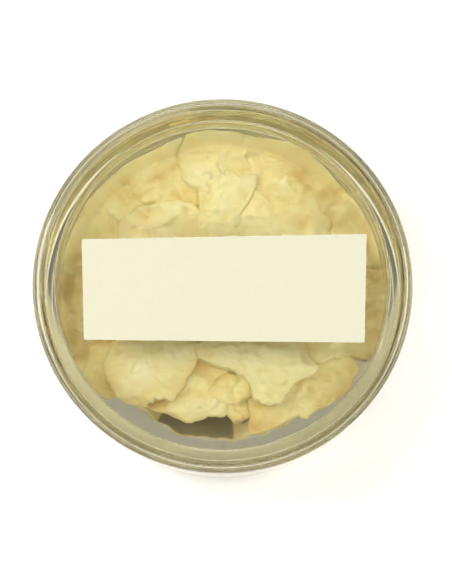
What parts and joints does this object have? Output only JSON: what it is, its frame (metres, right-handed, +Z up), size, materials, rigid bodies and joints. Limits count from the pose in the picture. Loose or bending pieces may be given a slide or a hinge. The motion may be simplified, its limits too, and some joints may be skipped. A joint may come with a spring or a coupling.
{
  "type": "jar of shaving soap",
  "caption": "Low round clear jar with a clear screw lid, a blank paper label and scooped lumps of soft shaving soap inside.",
  "frame": {"origin": "middle of the foot, on the ground", "axes": "+Z up through the jar's axis, which the lid turns about; the label's long side runs along X, and its front edge faces -Y"},
  "size_m": [0.0918, 0.0918, 0.0382],
  "materials": {
    "jar_plastic": "clear, glossy",
    "lid_plastic": "clear, glossy",
    "seal_plastic": "clear, thin, satin",
    "label_paper": "matt, uncoated",
    "soap": "soft, waxy, torn"
  },
  "bodies": {
    "jar": {"jar": "jar_plastic", "soap_bed": "soap", "soap_lump_rear_left": "soap", "soap_lump_rear_middle": "soap", "soap_lump_rear_right": "soap", "soap_lump_left_rear": "soap", "soap_lump_right_rear": "soap", "soap_lump_inner_rear_left": "soap", "soap_lump_inner_rear_middle": "soap", "soap_lump_inner_rear_right": "soap", "soap_lump_left": "soap", "soap_lump_inner_left": "soap", "soap_lump_inner_right": "soap", "soap_lump_right": "soap", "soap_lump_left_front": "soap", "soap_lump_front_left": "soap", "soap_lump_front_middle": "soap", "soap_crumb_front": "soap", "soap_crumb_middle": "soap", "soap_lump_front_right": "soap", "soap_lump_front_slab": "soap", "soap_lump_right_front": "soap"},
    "seal": {"seal_disc": "seal_plastic"},
    "lid": {"lid": "lid_plastic", "label": "label_paper"}
  },
  "joints": [
    {"name": "lid_rise", "type": "slide", "parent": "jar", "child": "seal", "axis": [0, 0, 1], "range_m": [0, 0.01525]},
    {"name": "lid_turn", "type": "hinge", "parent": "seal", "child": "lid", "pos_m": [0, 0, 0.0374], "axis": [0, 0, 1], "range_deg": [0, 1080]}
  ],
  "couplings": [
    {"joint": "lid_rise", "follows": "lid_turn", "m_per_rad": 0.00080851}
  ]
}
